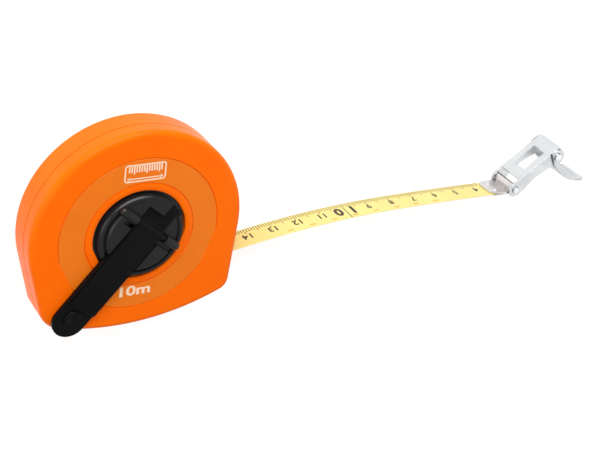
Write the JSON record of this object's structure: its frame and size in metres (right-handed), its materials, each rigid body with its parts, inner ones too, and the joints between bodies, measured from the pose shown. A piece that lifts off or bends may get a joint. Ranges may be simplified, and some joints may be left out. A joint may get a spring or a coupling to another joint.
{
  "type": "surveyor tape reel",
  "caption": "Closed-case pocket measuring tape: rounded two-shell case, fold-over winding crank on a sunk disc, narrow steel tape with a hinged window link and claw hook",
  "frame": {"origin": "on the reel axis at the back face of the case, which the reel lies on", "axes": "+Z out of the crank side along the reel axis, +X the way the tape is pulled out, +Y up across the face"},
  "size_m": [0.2323, 0.0723, 0.0186],
  "materials": {
    "case_plastic": "moulded orange ABS, soft gloss",
    "ring_print": "satin printed foil ring",
    "black_plastic": "black nylon, satin",
    "drum_plastic": "grey moulded acetal",
    "tape_steel": "yellow lacquered steel tape, printed in black",
    "fitting_steel": "nickel-plated pressed steel",
    "pin_steel": "bright steel pins, rivets and screws",
    "black_steel": "blackened steel pin"
  },
  "bodies": {
    "case": {"front_shell": "case_plastic", "back_shell": "case_plastic", "case_screws": "pin_steel", "printed_ring": "ring_print", "axle": "pin_steel", "friction_washer": "pin_steel"},
    "reel": {"drum": "drum_plastic", "front_flange": "drum_plastic", "tape_coil": "tape_steel", "tape_anchor": "pin_steel", "winding_disc": "black_plastic", "hub_screw": "pin_steel", "hinge_pin": "black_steel"},
    "crank": {"crank_lever": "black_plastic"},
    "finger_knob": {"knob": "black_plastic", "knob_rivet": "pin_steel"},
    "tape": {"tape_blade": "tape_steel", "end_clip": "fitting_steel", "clip_rivets": "pin_steel", "link_pin": "pin_steel"},
    "link": {"link": "fitting_steel", "claw_pin": "pin_steel"},
    "claw": {"claw": "fitting_steel"}
  },
  "joints": [
    {"name": "tape_pull", "type": "slide", "parent": "case", "child": "tape", "axis": [0.9989, 0.0471, 0], "range_m": [-0.104, 0], "deforming": ["tape_blade"]},
    {"name": "reel_turn", "type": "hinge", "parent": "case", "child": "reel", "pos_m": [0, 0, 0], "axis": [0, 0, 1], "range_deg": [-228, 0]},
    {"name": "crank_fold", "type": "hinge", "parent": "reel", "child": "crank", "pos_m": [0.00242, 0.00293, 0.0171], "axis": [-0.7716, 0.6361, 0], "range_deg": [0, 180]},
    {"name": "knob_spin", "type": "hinge", "parent": "crank", "child": "finger_knob", "pos_m": [-0.02226, -0.02701, 0.0171], "axis": [0, 0, 1], "continuous": true},
    {"name": "link_swing", "type": "hinge", "parent": "tape", "child": "link", "pos_m": [0.15999, -0.00715, 0.0077], "axis": [0, 0, 1], "range_deg": [-100, 50]},
    {"name": "claw_swing", "type": "hinge", "parent": "link", "child": "claw", "pos_m": [0.17708, 0.0054, 0.0077], "axis": [0, 0, 1], "range_deg": [-25, 190]}
  ],
  "couplings": [
    {"joint": "reel_turn", "follows": "tape_pull", "rad_per_m": 37.7}
  ]
}
